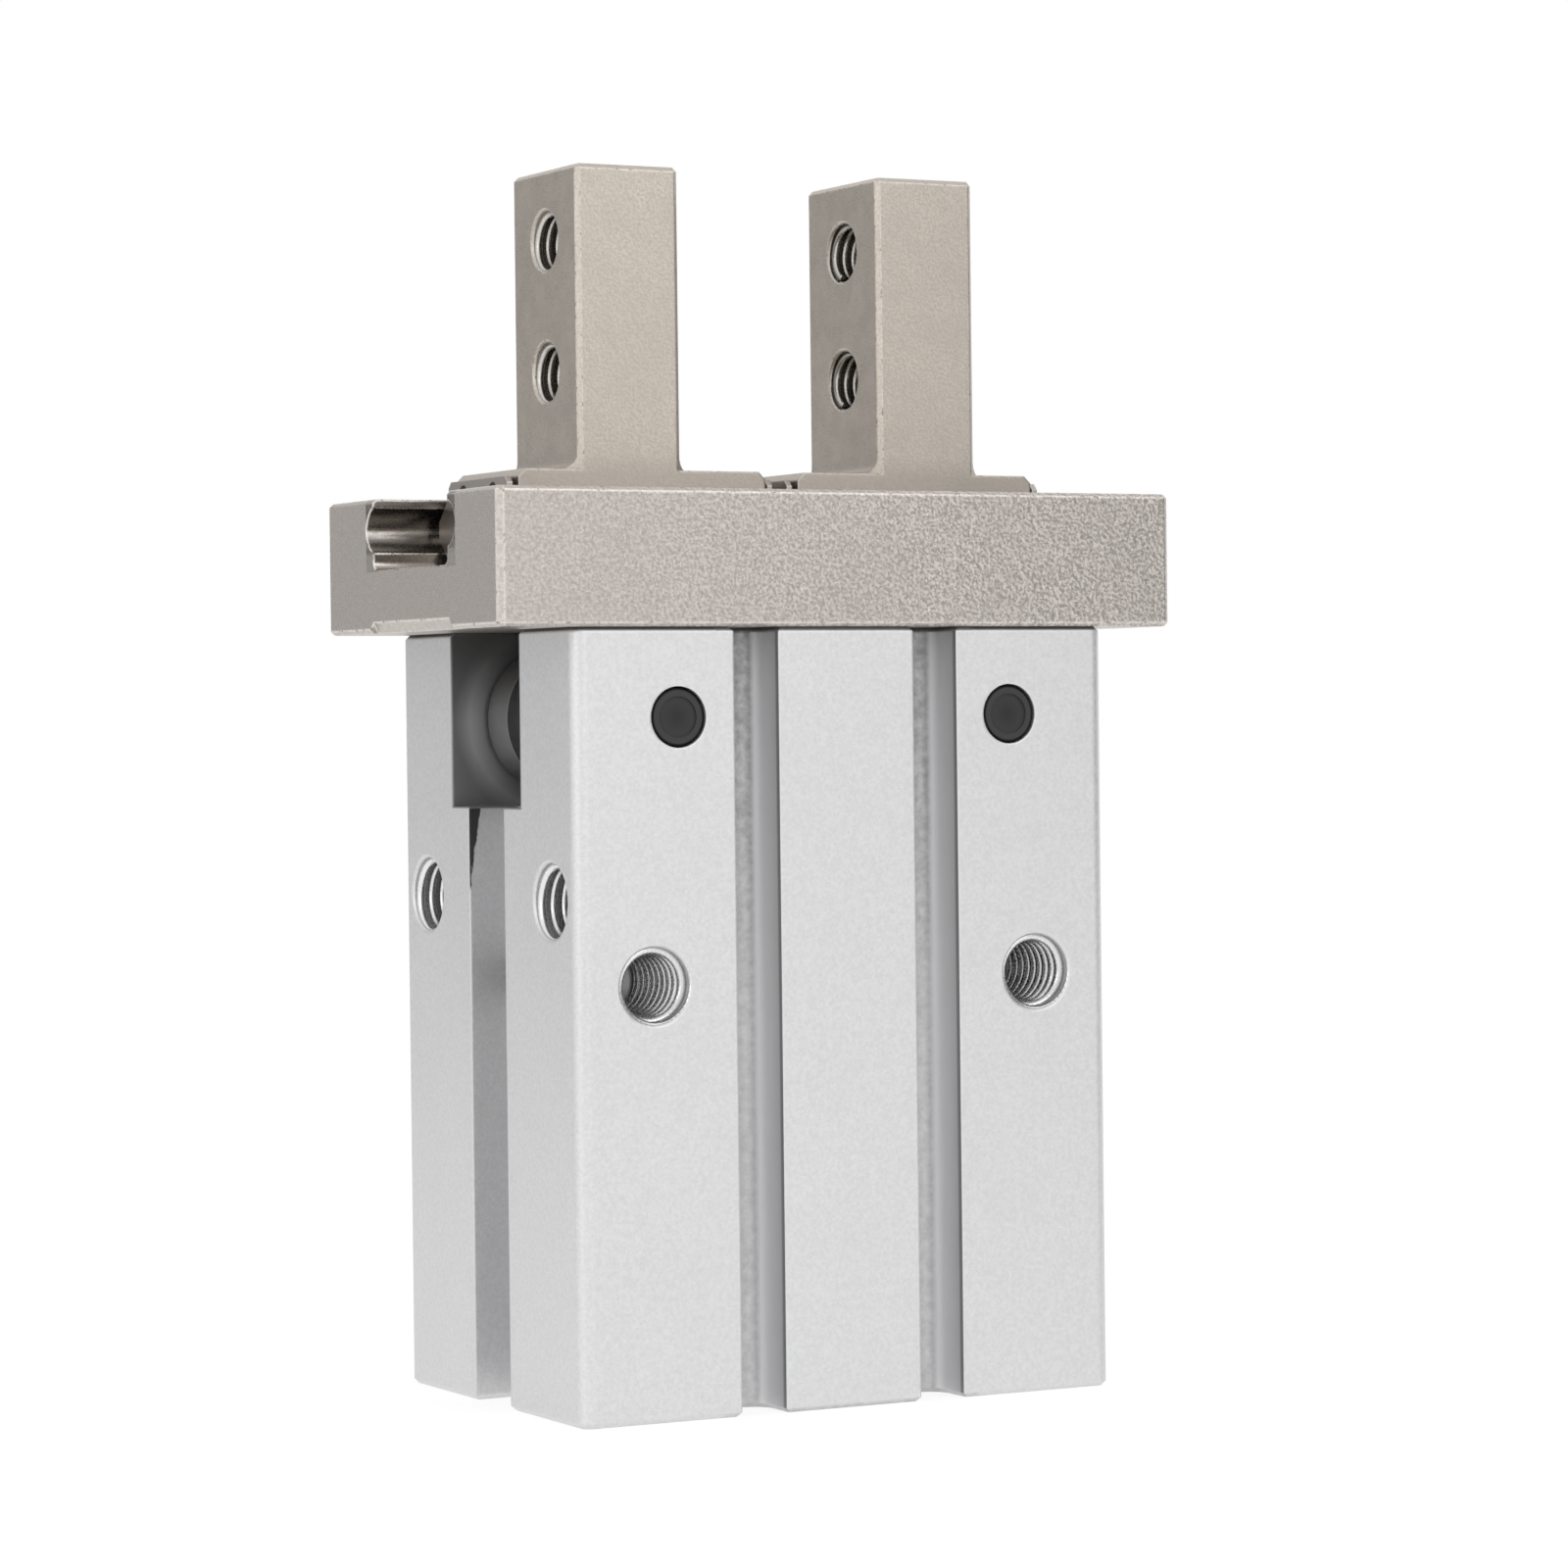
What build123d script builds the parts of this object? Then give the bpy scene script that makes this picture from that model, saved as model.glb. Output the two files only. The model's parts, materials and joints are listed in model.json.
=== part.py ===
"""Two-finger pneumatic parallel gripper, 20 mm bore, drawn with the fingers closed.

Millimetres. The origin is the centre of the housing's bottom face, X is the fingers' travel,
Y the depth with the front at -Y, and Z runs up to the finger tips.
"""
import os
from math import asin, degrees, hypot, sin

from build123d import *

# Housing, an extruded profile with machined ends
housing_width = 39.7
housing_depth = 27.6
housing_height = 51.5
housing_corner = 0.9
housing_edge = 0.3
slot_width = 10.9
slot_depth = 11.7

# Sensor grooves in the front and rear faces, and the wider groove in the left face
switch_groove_offset = 6.7
switch_groove_width = 3.3
switch_groove_depth = 3.7
switch_groove_round = 1.2
side_groove_width = 5.6
side_groove_depth = 4.0
side_groove_round = 0.6

# Cylinder bore and what closes it
bore_radius = 10.0
spigot_recess_wider = 0.5
spigot_recess_depth = 1.5
ring_groove_in = 0.7
ring_groove_low = 2.4
ring_groove_height = 1.1
ring_thickness = 1.0
ring_band = 1.5
ring_gap_half = 3.6
ring_lug_radius = 1.6
ring_lug_hole = 0.75
cap_height = 5.6
cap_clearance = 0.05
cap_dish_radius = 6.0
cap_dish_depth = 0.8
oring_groove_height = 1.8
oring_groove_depth = 1.65
oring_chamfer = 0.4
seal_clearance = 0.04

# Rod guide and rod seal between the bore and the lever slot
rod_guide_height = 7.5
seal_pocket_narrower = 2.0
seal_pocket_height = 4.0
seal_height = 2.4
bushing_radius = 6.5
bushing_height = 3.0
rod_radius = 5.0
running_clearance = 0.05
rod_lip_clearance = 0.4

# Dampers, glued on the cap and under the rod guide
damper_thickness = 0.95
damper_inner = 5.6
damper_narrower = 1.4

# Air ports on the right face
port_radius = 2.5
port_depth = 5.0
port_pilot_radius = 0.8

# Tapped mounting holes
face_hole_radius = 2.5
face_hole_edge = 5.55
face_hole_below = 4.0
face_hole_depth = 8.0
through_hole_radius = 2.1
side_hole_radius = 2.5
side_hole_edge = 4.0
side_hole_above = 1.5
side_hole_depth = 7.0
base_hole_radius = 2.0
base_hole_edge_x = 4.85
base_hole_edge_y = 4.0
base_hole_depth = 8.0
hole_edge = 0.15

# Levers: bell cranks that turn on shafts across the slot
pivot_drop = 5.85
shaft_radius = 2.0
shaft_fit = 0.02
plug_depth = 2.2
plug_fit = 0.08
plug_sunk = 0.1
plug_dish = 0.15
finger_arm = 12.85
rod_arm = 8.2
rod_roller_x = 4.2
finger_stroke = 5.0
lever_hub_radius = 4.9
lever_blade_hub = 3.6
lever_blade_width = 4.2
lever_side_play = 0.3
lever_arm_root = 2.6
lever_arm_end = 1.9
lever_neck = 1.3
lever_tip = 1.7
finger_neck_length = 4.8
rod_neck_length = 3.0
roller_radius = 2.0
roller_bore = 1.0
roller_width = 0.75
roller_gap = 0.05
slot_fit = 0.08

# Rod head with a slot on each side for the levers' rollers
head_web_half = 1.9
head_top_flange = 1.8

# Piston
piston_clearance = 0.07
piston_nose_narrower = 1.6
piston_nose = 1.8
stop_gap = 0.1
magnet_width = 4.0
magnet_depth = 2.2
piston_seal_width = 2.8
piston_seal_depth = 2.0
spigot_radius = 3.5
bolt_head_radius = 3.5
bolt_head_height = 4.0
bolt_seat = 4.1
bolt_web = 1.5
bolt_radius = 2.0
bolt_length = 9.0
bolt_socket = 3.0

# Guide rail with its ball channel
guide_overhang = 5.3
guide_proud = 0.2
guide_height = 9.0
guide_edge = 0.4
guide_rim = 0.25
channel_half = 6.1
channel_depth = 4.8
channel_round = 0.6
lever_window_width = 5.0
lever_window_margin = 0.5
end_relief_width = 12.4
end_relief = 0.7

# Balls in pointed-arch grooves
ball_radius = 1.5
ball_pitch = 3.1
ball_y = 5.6
ball_below_top = 2.1
groove_clearance = 0.08
groove_offset = 0.15

# Fingers
grip_gap = 15.1
finger_thickness = 7.54
finger_width = 10.0
finger_length = 21.8
finger_edge = 0.3
finger_root_fillet = 1.0
carriage_inner = 0.95
carriage_end_gap = 5.35
carriage_rise = 1.6
carriage_set_back = 0.3
carriage_top_edge = 0.5
carriage_floor_gap = 0.3
pocket_half_width = 3.05
pocket_roof_gap = 0.45
finger_hole_radius = 2.0
finger_hole_spacing = 8.8
finger_hole_top = 4.7

# Stopper plates on both ends of each finger's carriage, with a tongue into each ball groove
stopper_thickness = 0.4
stopper_tongue = 0.25
stopper_tongue_half = 0.55
stopper_head_half = 4.7
stopper_top_gap = 0.5
stopper_corner = 0.4
stopper_screw_y = 2.35
stopper_screw_radius = 0.8
stopper_screw_length = 2.6

# Screws that hold the guide rail on the housing
guide_screw_edge_x = 3.35
guide_screw_edge_y = 3.1
guide_screw_radius = 1.25
guide_screw_head = 2.25
guide_screw_head_height = 2.5
guide_screw_depth = 7.0
guide_screw_socket = 2.0
guide_screw_play = 0.15
guide_screw_end = 1.0
thread_fit = 0.02

# Worked out from the values above
half_width = housing_width / 2
half_depth = housing_depth / 2
slot_floor = housing_height - slot_depth
bore_top = slot_floor - rod_guide_height
spigot_recess_radius = bore_radius + spigot_recess_wider
ring_groove_radius = bore_radius + ring_groove_in
seal_pocket_radius = bore_radius - seal_pocket_narrower
damper_outer = bore_radius - damper_narrower
piston_radius = bore_radius - piston_clearance
piston_nose_radius = bore_radius - piston_nose_narrower
face_hole_x = half_width - face_hole_edge
face_hole_z = bore_top - face_hole_below
side_hole_y = half_depth - side_hole_edge
side_hole_z = bore_top + side_hole_above
base_hole_x = half_width - base_hole_edge_x
base_hole_y = half_depth - base_hole_edge_y
guide_screw_x = half_width - guide_screw_edge_x
guide_screw_y = half_depth - guide_screw_edge_y
guide_length = housing_width + 2 * guide_overhang
guide_depth = housing_depth + 2 * guide_proud
guide_top = housing_height + guide_height
channel_floor = guide_top - channel_depth
ball_z = guide_top - ball_below_top
carriage_low = channel_floor + carriage_floor_gap
carriage_top = guide_top + carriage_rise
finger_inner = grip_gap / 2
finger_outer = finger_inner + finger_thickness
finger_top = guide_top + finger_length
carriage_outer = guide_length / 2 - carriage_end_gap
pivot_x = rod_roller_x + rod_arm
pivot_z = housing_height - pivot_drop
swing = asin(finger_stroke / 2 / finger_arm)
piston_stroke = 2 * rod_arm * sin(swing)
cap_low = ring_groove_low + ring_groove_height
cap_top = cap_low + cap_height
piston_low = cap_top + damper_thickness + stop_gap
piston_top = bore_top - damper_thickness - stop_gap - piston_stroke
piston_land = (piston_top - piston_low - 2 * piston_nose - magnet_width - piston_seal_width) / 3
rod_slot_z = pivot_z - rod_arm * sin(swing)
rod_slot_half = roller_radius + slot_fit
pocket_x = pivot_x - finger_stroke / 2
row_centre = (carriage_inner + carriage_outer) / 2 + finger_stroke / 4
ball_count = int((carriage_outer - carriage_inner - finger_stroke / 2) // ball_pitch)


def block(x_low, x_high, y_low, y_high, z_low, z_high):
    """Box between two corners."""
    size = (x_high - x_low, y_high - y_low, z_high - z_low)
    middle = ((x_low + x_high) / 2, (y_low + y_high) / 2, (z_low + z_high) / 2)
    return Pos(*middle) * Box(*size)


def post(radius, z_low, z_high, x=0.0, y=0.0):
    """Upright cylinder."""
    return Pos(x, y, (z_low + z_high) / 2) * Cylinder(radius, z_high - z_low)


def rod_along_y(radius, x, z, y_low, y_high):
    """Cylinder lying front to back."""
    return Pos(x, (y_low + y_high) / 2, z) * Rot(90, 0, 0) * Cylinder(radius, y_high - y_low)


def rod_along_x(radius, y, z, x_low, x_high):
    """Cylinder lying left to right."""
    return Pos((x_low + x_high) / 2, y, z) * Rot(0, 90, 0) * Cylinder(radius, x_high - x_low)


def tube(inner, outer, z_low, z_high):
    """Upright ring."""
    return post(outer, z_low, z_high) - post(inner, z_low, z_high)


def mirrored(shape):
    """The same piece on the other side of the gripper's centre plane."""
    return mirror(shape, about=Plane.YZ)


def ball_groove_section(y):
    """Pointed-arch groove outline, drawn on the YZ plane about the ball's centre."""
    arc_radius = ball_radius + groove_clearance + groove_offset
    upper = Pos(y, ball_z + groove_offset) * Circle(arc_radius)
    lower = Pos(y, ball_z - groove_offset) * Circle(arc_radius)
    return upper & lower


def tapered_bar(start, start_radius, end, end_radius):
    """Flat bar whose round ends are joined by straight sides."""
    length = hypot(end[0] - start[0], end[1] - start[1])
    along = ((end[0] - start[0]) / length, (end[1] - start[1]) / length)
    lean = (start_radius - end_radius) / length
    square = (1 - lean * lean) ** 0.5
    corners = []
    for side, points in ((1, ((start, start_radius), (end, end_radius))),
                         (-1, ((end, end_radius), (start, start_radius)))):
        normal = (along[0] * lean - side * along[1] * square, along[1] * lean + side * along[0] * square)
        corners += [(p[0] + normal[0] * r, p[1] + normal[1] * r) for p, r in points]
    bar = make_face(Polyline(*corners, close=True))
    bar += Pos(*start) * Circle(start_radius)
    bar += Pos(*end) * Circle(end_radius)
    return bar


def housing_blank():
    """Extruded profile with its sensor grooves, edges broken at both ends."""
    profile = RectangleRounded(housing_width, housing_depth, housing_corner)
    groove = RectangleRounded(switch_groove_width, 2 * switch_groove_depth, switch_groove_round)
    for x in (-switch_groove_offset, switch_groove_offset):
        for y in (-half_depth, half_depth):
            profile -= Pos(x, y) * groove
    side = RectangleRounded(2 * side_groove_depth, side_groove_width, side_groove_round)
    profile -= Pos(-half_width, 0) * side
    blank = extrude(profile, housing_height)
    ends = blank.faces().sort_by(Axis.Z)
    return chamfer(ends[0].edges() + ends[-1].edges(), housing_edge)


def cylinder_cut():
    """Everything turned on the bore's axis, from the locating recess up to the rod's way out."""
    seal_top = bore_top + seal_pocket_height
    cut = post(spigot_recess_radius, 0, spigot_recess_depth)
    cut += post(bore_radius, 0, bore_top)
    cut += post(ring_groove_radius, ring_groove_low, ring_groove_low + ring_groove_height)
    cut += post(seal_pocket_radius, bore_top, seal_top)
    cut += post(bushing_radius, seal_top, seal_top + bushing_height)
    cut += post(rod_radius + rod_lip_clearance, seal_top, slot_floor)
    return cut


def port_cut(z):
    """Tapped air port with the small passage into the bore."""
    thread = rod_along_x(port_radius, 0, z, half_width - port_depth, half_width)
    mouth = port_mouth(Plane((half_width, 0, z), z_dir=(1, 0, 0)), port_radius)
    return thread + mouth + rod_along_x(port_pilot_radius, 0, z, bore_radius / 2, half_width)


def port_mouth(plane, radius):
    """Small countersink at a hole's mouth, on a plane whose normal points out of it."""
    cone = Cone(radius, radius + hole_edge, hole_edge, align=(Align.CENTER, Align.CENTER, Align.MAX))
    return plane * cone


def face_hole_cut(x):
    """Mounting hole tapped from both faces, with a plain bore between the threads."""
    cut = rod_along_y(through_hole_radius, x, face_hole_z, -half_depth, half_depth)
    for side in (-1, 1):
        face = side * half_depth
        inner = side * (half_depth - face_hole_depth)
        cut += rod_along_y(face_hole_radius, x, face_hole_z, min(face, inner), max(face, inner))
        mouth = Plane((x, face, face_hole_z), z_dir=(0, side, 0))
        cut += port_mouth(mouth, face_hole_radius)
    return cut


def side_hole_cut(y):
    """Mounting thread in the left face."""
    cut = rod_along_x(side_hole_radius, y, side_hole_z, -half_width, side_hole_depth - half_width)
    return cut + port_mouth(Plane((-half_width, y, side_hole_z), z_dir=(-1, 0, 0)), side_hole_radius)


def guide_screw_places():
    """The four places where the rail is screwed down."""
    return [(x, y) for x in (-guide_screw_x, guide_screw_x) for y in (-guide_screw_y, guide_screw_y)]


def housing():
    """One-piece cylinder body with the lever slot across its top."""
    body = housing_blank()
    body -= block(-half_width, half_width, -slot_width / 2, slot_width / 2, slot_floor, housing_height)
    body -= cylinder_cut()
    body -= port_cut(cap_top + port_pilot_radius)
    body -= port_cut(bore_top - port_pilot_radius)
    for side in (-1, 1):
        body -= face_hole_cut(side * face_hole_x)
        body -= side_hole_cut(side * side_hole_y)
        body -= rod_along_y(shaft_radius, side * pivot_x, pivot_z, -half_depth, half_depth)
        for y in (-base_hole_y, base_hole_y):
            body -= post(base_hole_radius, 0, base_hole_depth, side * base_hole_x, y)
    for x, y in guide_screw_places():
        body -= post(guide_screw_radius, housing_height - guide_screw_depth, housing_height, x, y)
    return body


def end_cap():
    """Round cap that closes the bore, with its seal groove and a dished underside."""
    radius = bore_radius - cap_clearance
    middle = (cap_low + cap_top) / 2
    cap = post(radius, cap_low, cap_top)
    cap -= tube(radius - oring_groove_depth, radius, middle - oring_groove_height / 2,
                middle + oring_groove_height / 2)
    return cap - post(cap_dish_radius, cap_low, cap_low + cap_dish_depth)


def cap_oring():
    """Rubber ring in the cap's groove, squeezed nearly square."""
    inner = bore_radius - cap_clearance - oring_groove_depth
    outer = bore_radius - seal_clearance
    half = oring_groove_height / 2 - seal_clearance
    middle = (cap_low + cap_top) / 2
    ring = tube(inner, outer, middle - half, middle + half)
    return chamfer(ring.edges().filter_by(GeomType.CIRCLE), oring_chamfer)


def retaining_ring():
    """Internal C-ring with two holed lugs, sprung into the groove under the cap."""
    radius = ring_groove_radius - 2 * seal_clearance
    ring = Circle(radius) - Circle(radius - ring_band)
    ring -= Pos(0, -radius) * Rectangle(2 * ring_gap_half, 2 * radius - 2 * ring_band)
    lug_distance = bore_radius - ring_lug_radius - cap_clearance
    for side in (-1, 1):
        x = side * (ring_gap_half + ring_lug_radius / 2)
        y = -(lug_distance ** 2 - x ** 2) ** 0.5
        ring += Pos(x, y) * Circle(ring_lug_radius)
        ring -= Pos(x, y) * Circle(ring_lug_hole)
    slack = (ring_groove_height - ring_thickness) / 2
    return Pos(0, 0, ring_groove_low + slack) * extrude(ring, ring_thickness)


def rod_seal():
    """Lipped rod seal, open towards the pressure side below."""
    low = bore_top + seal_pocket_height - seal_height
    high = bore_top + seal_pocket_height
    inner = rod_radius + running_clearance
    middle = (inner + seal_pocket_radius) / 2
    ring = tube(inner, seal_pocket_radius, low, high)
    lip_gap = (seal_pocket_radius - inner) / 6
    return ring - tube(middle - lip_gap, middle + lip_gap, low, (low + high) / 2)


def seal_retainer():
    """Washer that holds the rod seal in its pocket."""
    return tube(rod_radius + rod_lip_clearance, seal_pocket_radius,
                bore_top, bore_top + seal_pocket_height - seal_height)


def rod_bushing():
    """Plain bearing that guides the piston rod."""
    low = bore_top + seal_pocket_height
    return tube(rod_radius + running_clearance, bushing_radius, low, low + bushing_height)


def lower_damper():
    """Rubber ring on the cap that the piston lands on."""
    return tube(damper_inner, damper_outer, cap_top, cap_top + damper_thickness)


def upper_damper():
    """Rubber ring under the rod guide that stops the upward stroke."""
    return tube(damper_inner, damper_outer, bore_top - damper_thickness, bore_top)


def lever_shaft():
    """Shaft of the right lever, between its two plugs."""
    reach = half_depth - plug_depth
    return rod_along_y(shaft_radius - shaft_fit, pivot_x, pivot_z, -reach, reach)


def shaft_plug():
    """Dished plug over the right shaft's front end."""
    face = -half_depth + plug_sunk
    radius = shaft_radius - plug_fit
    plug = rod_along_y(radius, pivot_x, pivot_z, face, plug_depth - half_depth)
    plug = chamfer(plug.edges().sort_by(Axis.Y)[0], hole_edge)
    return plug - rod_along_y(radius * 0.7, pivot_x, pivot_z, face, face + plug_dish)


def piston():
    """Piston with grooves for its seal and magnet, and a nose at both ends."""
    low = piston_low + piston_nose
    high = piston_top - piston_nose
    body = post(piston_nose_radius, piston_low, piston_top)
    body += post(piston_radius, low, high)
    magnet_low = low + piston_land
    body -= tube(piston_radius - magnet_depth, piston_radius, magnet_low, magnet_low + magnet_width)
    seal_high = high - piston_land
    body -= tube(piston_radius - piston_seal_depth, piston_radius, seal_high - piston_seal_width, seal_high)
    body -= post(bolt_head_radius + thread_fit * 5, piston_low, piston_low + bolt_seat)
    body -= post(bolt_radius, piston_low, piston_top)
    return body - post(spigot_radius, piston_low + bolt_seat + bolt_web, piston_top)


def magnet_ring():
    """Magnet band that the sensors in the housing's grooves detect."""
    low = piston_low + piston_nose + piston_land + seal_clearance
    inner = piston_radius - magnet_depth
    return tube(inner, bore_radius - 4 * cap_clearance, low, low + magnet_width - 2 * seal_clearance)


def piston_seal():
    """Rubber seal round the piston, its outer corners rounded."""
    high = piston_top - piston_nose - piston_land - seal_clearance
    width = piston_seal_width - 2 * seal_clearance
    inner = piston_radius - piston_seal_depth
    seal = tube(inner, bore_radius - seal_clearance, high - width, high)
    outer = [e for e in seal.edges() if e.bounding_box().size.X > 2 * piston_radius]
    return chamfer(outer, oring_chamfer)


def piston_rod():
    """Rod with a spigot into the piston and a head slotted for both levers."""
    head_top = rod_slot_z + rod_slot_half + head_top_flange
    rod = post(rod_radius, piston_top, head_top)
    rod = chamfer(rod.edges().sort_by(Axis.Z)[-1], hole_edge * 2)
    rod += post(spigot_radius, piston_low + bolt_seat + bolt_web, piston_top)
    for side in (-1, 1):
        near = side * head_web_half
        far = side * (rod_radius + 1)
        rod -= block(min(near, far), max(near, far), -rod_radius, rod_radius,
                     rod_slot_z - rod_slot_half, rod_slot_z + rod_slot_half)
    return rod - post(bolt_radius, piston_low, piston_low + bolt_seat + bolt_length)


def socket_screw(head_radius, head_height, radius, length, socket):
    """Socket-head screw, its seat at the origin and its shank pointing down."""
    screw = post(head_radius, 0, head_height) + post(radius, -length, 0)
    key = extrude(RegularPolygon(socket / 2, 6, major_radius=False), -head_height / 2)
    return screw - Pos(0, 0, head_height) * key


def piston_bolt():
    """Screw that clamps the rod on the piston, from below."""
    screw = socket_screw(bolt_head_radius, bolt_head_height, bolt_radius - thread_fit,
                         bolt_length - bolt_head_height, bolt_socket)
    return Pos(0, 0, piston_low + bolt_seat) * Rot(180, 0, 0) * screw


def lever_blade_section():
    """Middle blade of the right lever half way through its swing, pivot at the origin."""
    finger_end = (0, finger_arm)
    rod_end = (-rod_arm, 0)
    finger_neck = (0, finger_arm - finger_neck_length)
    rod_neck = (rod_neck_length - rod_arm, 0)
    section = Circle(lever_blade_hub)
    for neck, end in ((finger_neck, finger_end), (rod_neck, rod_end)):
        section += tapered_bar((0, 0), lever_arm_root, neck, lever_arm_end)
        section += tapered_bar(neck, lever_neck, end, lever_neck)
        section += Pos(*end) * Circle(lever_tip)
    return section


def at_lever(sketch, y_low, y_high):
    """Extrude a lever outline over a stretch of Y and set it at the closed position."""
    solid = extrude(Plane.XZ * sketch, y_high - y_low)
    return Pos(pivot_x, y_high, pivot_z) * Rot(0, -degrees(swing), 0) * solid


def lever():
    """Bell crank: its hub fills the slot, and its middle blade drives the finger and the rod."""
    half_blade = lever_blade_width / 2
    half_hub = slot_width / 2 - lever_side_play
    crank = at_lever(lever_blade_section(), -half_blade, half_blade)
    crank += at_lever(Circle(lever_hub_radius), -half_hub, -half_blade)
    crank += at_lever(Circle(lever_hub_radius), half_blade, half_hub)
    bore = shaft_radius - shaft_fit + running_clearance
    crank -= rod_along_y(bore, pivot_x, pivot_z, -half_hub, half_hub)
    for centre in ((0, finger_arm), (-rod_arm, 0)):
        crank -= at_lever(Pos(*centre) * Circle(roller_bore), -half_blade, half_blade)
    return crank


def lever_pins():
    """The two cross pins in the right lever's ends."""
    reach = lever_blade_width / 2 + roller_gap + roller_width
    return Compound([at_lever(Pos(*centre) * Circle(roller_bore - thread_fit), -reach, reach)
                     for centre in ((0, finger_arm), (-rod_arm, 0))])


def lever_rollers():
    """Two rollers on each cross pin, one on each side of the blade."""
    inner = lever_blade_width / 2 + roller_gap
    outer = inner + roller_width
    rollers = []
    for centre in ((0, finger_arm), (-rod_arm, 0)):
        section = Pos(*centre) * (Circle(roller_radius) - Circle(roller_bore))
        rollers += [at_lever(section, inner, outer), at_lever(section, -outer, -inner)]
    return Compound(rollers)


def guide_rail():
    """Rail with the ball channel along it, the lever windows and the screw seats."""
    channel = Pos(0, guide_top) * RectangleRounded(2 * channel_half, 2 * channel_depth, channel_round)
    channel += ball_groove_section(ball_y) + ball_groove_section(-ball_y)
    rail = rail_blank() - Pos(-guide_length / 2, 0, 0) * extrude(Plane.YZ * channel, guide_length)
    half_window = finger_stroke / 2 + lever_arm_end + lever_window_margin
    for side in (-1, 1):
        window = RectangleRounded(2 * half_window, lever_window_width, channel_round)
        window = Pos(side * pivot_x, 0) * window
        rail -= Pos(0, 0, housing_height) * extrude(window, guide_height)
        rail -= end_relief_cut(side)
    for x, y in guide_screw_places():
        rail -= post(guide_screw_radius + guide_screw_play, housing_height, guide_top, x, y)
        seat = guide_top - guide_screw_head_height - guide_screw_play
        rail -= post(guide_screw_head + guide_screw_play, seat, guide_top, x, y)
    return rail


def rail_blank():
    """Plain bar with all its edges broken, the upright ones more."""
    half = guide_length / 2
    bar = block(-half, half, -guide_depth / 2, guide_depth / 2, housing_height, guide_top)
    bar = chamfer(bar.edges().filter_by(Axis.Z), guide_edge)
    ends = bar.faces().sort_by(Axis.Z)
    return chamfer(ends[0].edges() + ends[-1].edges(), guide_rim)


def end_relief_cut(side):
    """Bevel under one end of the rail, as wide as the channel, which runs out at both sides."""
    end = side * guide_length / 2
    low = Rectangle(2 * end_relief, end_relief_width + 2 * end_relief)
    high = Rectangle(end_relief / 20, end_relief_width)
    return loft([Pos(end, 0, housing_height) * low, Pos(end, 0, housing_height + end_relief) * high])


def guide_screws():
    """Four socket-head screws, sunk in the rail."""
    seat = guide_top - guide_screw_head_height - guide_screw_play
    length = seat - housing_height + guide_screw_depth - guide_screw_end
    screw = socket_screw(guide_screw_head, guide_screw_head_height, guide_screw_radius - thread_fit,
                         length, guide_screw_socket)
    return Compound([Pos(x, y, seat) * screw for x, y in guide_screw_places()])


def carriage():
    """Lower block of the right finger with its ball grooves, its ends set back above the rail."""
    half = finger_width / 2
    low = block(carriage_inner, carriage_outer, -half, half, carriage_low, guide_top)
    high = block(carriage_inner + carriage_set_back, carriage_outer - carriage_set_back, -half, half,
                 guide_top, carriage_top)
    high = chamfer(high.faces().sort_by(Axis.Z)[-1].edges().filter_by(Axis.Y), carriage_top_edge)
    grooves = Plane.YZ * (ball_groove_section(ball_y) + ball_groove_section(-ball_y))
    return low + high - Pos(carriage_inner, 0, 0) * extrude(grooves, carriage_outer - carriage_inner)


def finger_hole_heights():
    """Centres of the two tapped holes."""
    upper = finger_top - finger_hole_top
    return (upper - finger_hole_spacing, upper)


def finger():
    """Right finger: a square prong that grows out of its carriage."""
    half = finger_width / 2
    prong = block(finger_inner, finger_outer, -half, half, carriage_low, finger_top)
    upright = prong.edges().filter_by(Axis.Z)
    prong = chamfer(upright + prong.faces().sort_by(Axis.Z)[-1].edges(), finger_edge)
    piece = carriage() + (prong - block(finger_inner, finger_outer, -half, half, 0, carriage_top))
    roots = [e for e in piece.edges().filter_by(Axis.Y) if abs(e.center().Z - carriage_top) < 0.01
             and min(abs(e.center().X - finger_inner), abs(e.center().X - finger_outer)) < 0.01]
    piece = fillet(roots, finger_root_fillet)
    pocket_top = pivot_z + finger_arm + roller_radius + pocket_roof_gap
    reach = roller_radius + slot_fit
    piece -= block(pocket_x - reach, pocket_x + reach, -pocket_half_width, pocket_half_width,
                   carriage_low, pocket_top)
    for z in finger_hole_heights():
        piece -= rod_along_x(finger_hole_radius, 0, z, finger_inner, finger_outer)
        piece -= port_mouth(Plane((finger_outer, 0, z), z_dir=(1, 0, 0)), finger_hole_radius)
        piece -= port_mouth(Plane((finger_inner, 0, z), z_dir=(-1, 0, 0)), finger_hole_radius)
    depth = stopper_screw_length - stopper_thickness
    for y in (-stopper_screw_y, stopper_screw_y):
        for x in (carriage_inner, carriage_outer - depth):
            piece -= rod_along_x(stopper_screw_radius, y, guide_top, x, x + depth)
    return piece


def stopper_plate():
    """Plate on the carriage's outer end: its tongues keep the balls in, its head stands above the rail."""
    wide = channel_half + stopper_tongue
    tongue_low = ball_z - stopper_tongue_half
    tongue_high = ball_z + stopper_tongue_half
    high = carriage_top - stopper_top_gap
    side = [(wide - (tongue_low - carriage_low), carriage_low), (wide, tongue_low), (wide, tongue_high),
            (stopper_head_half, tongue_high + wide - stopper_head_half), (stopper_head_half, high)]
    outline = make_face(Polyline(*side, *[(-y, z) for y, z in reversed(side)], close=True))
    outline = chamfer(outline.vertices().group_by(Axis.Y)[-1], stopper_corner)
    solid = extrude(Plane.YZ * outline, stopper_thickness)
    for y in (-stopper_screw_y, stopper_screw_y):
        solid -= rod_along_x(stopper_screw_radius, y, guide_top, 0, stopper_thickness)
    return solid


def outer_stopper():
    """Stopper plate at the right carriage's outer end."""
    return Pos(carriage_outer, 0, 0) * stopper_plate()


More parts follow.
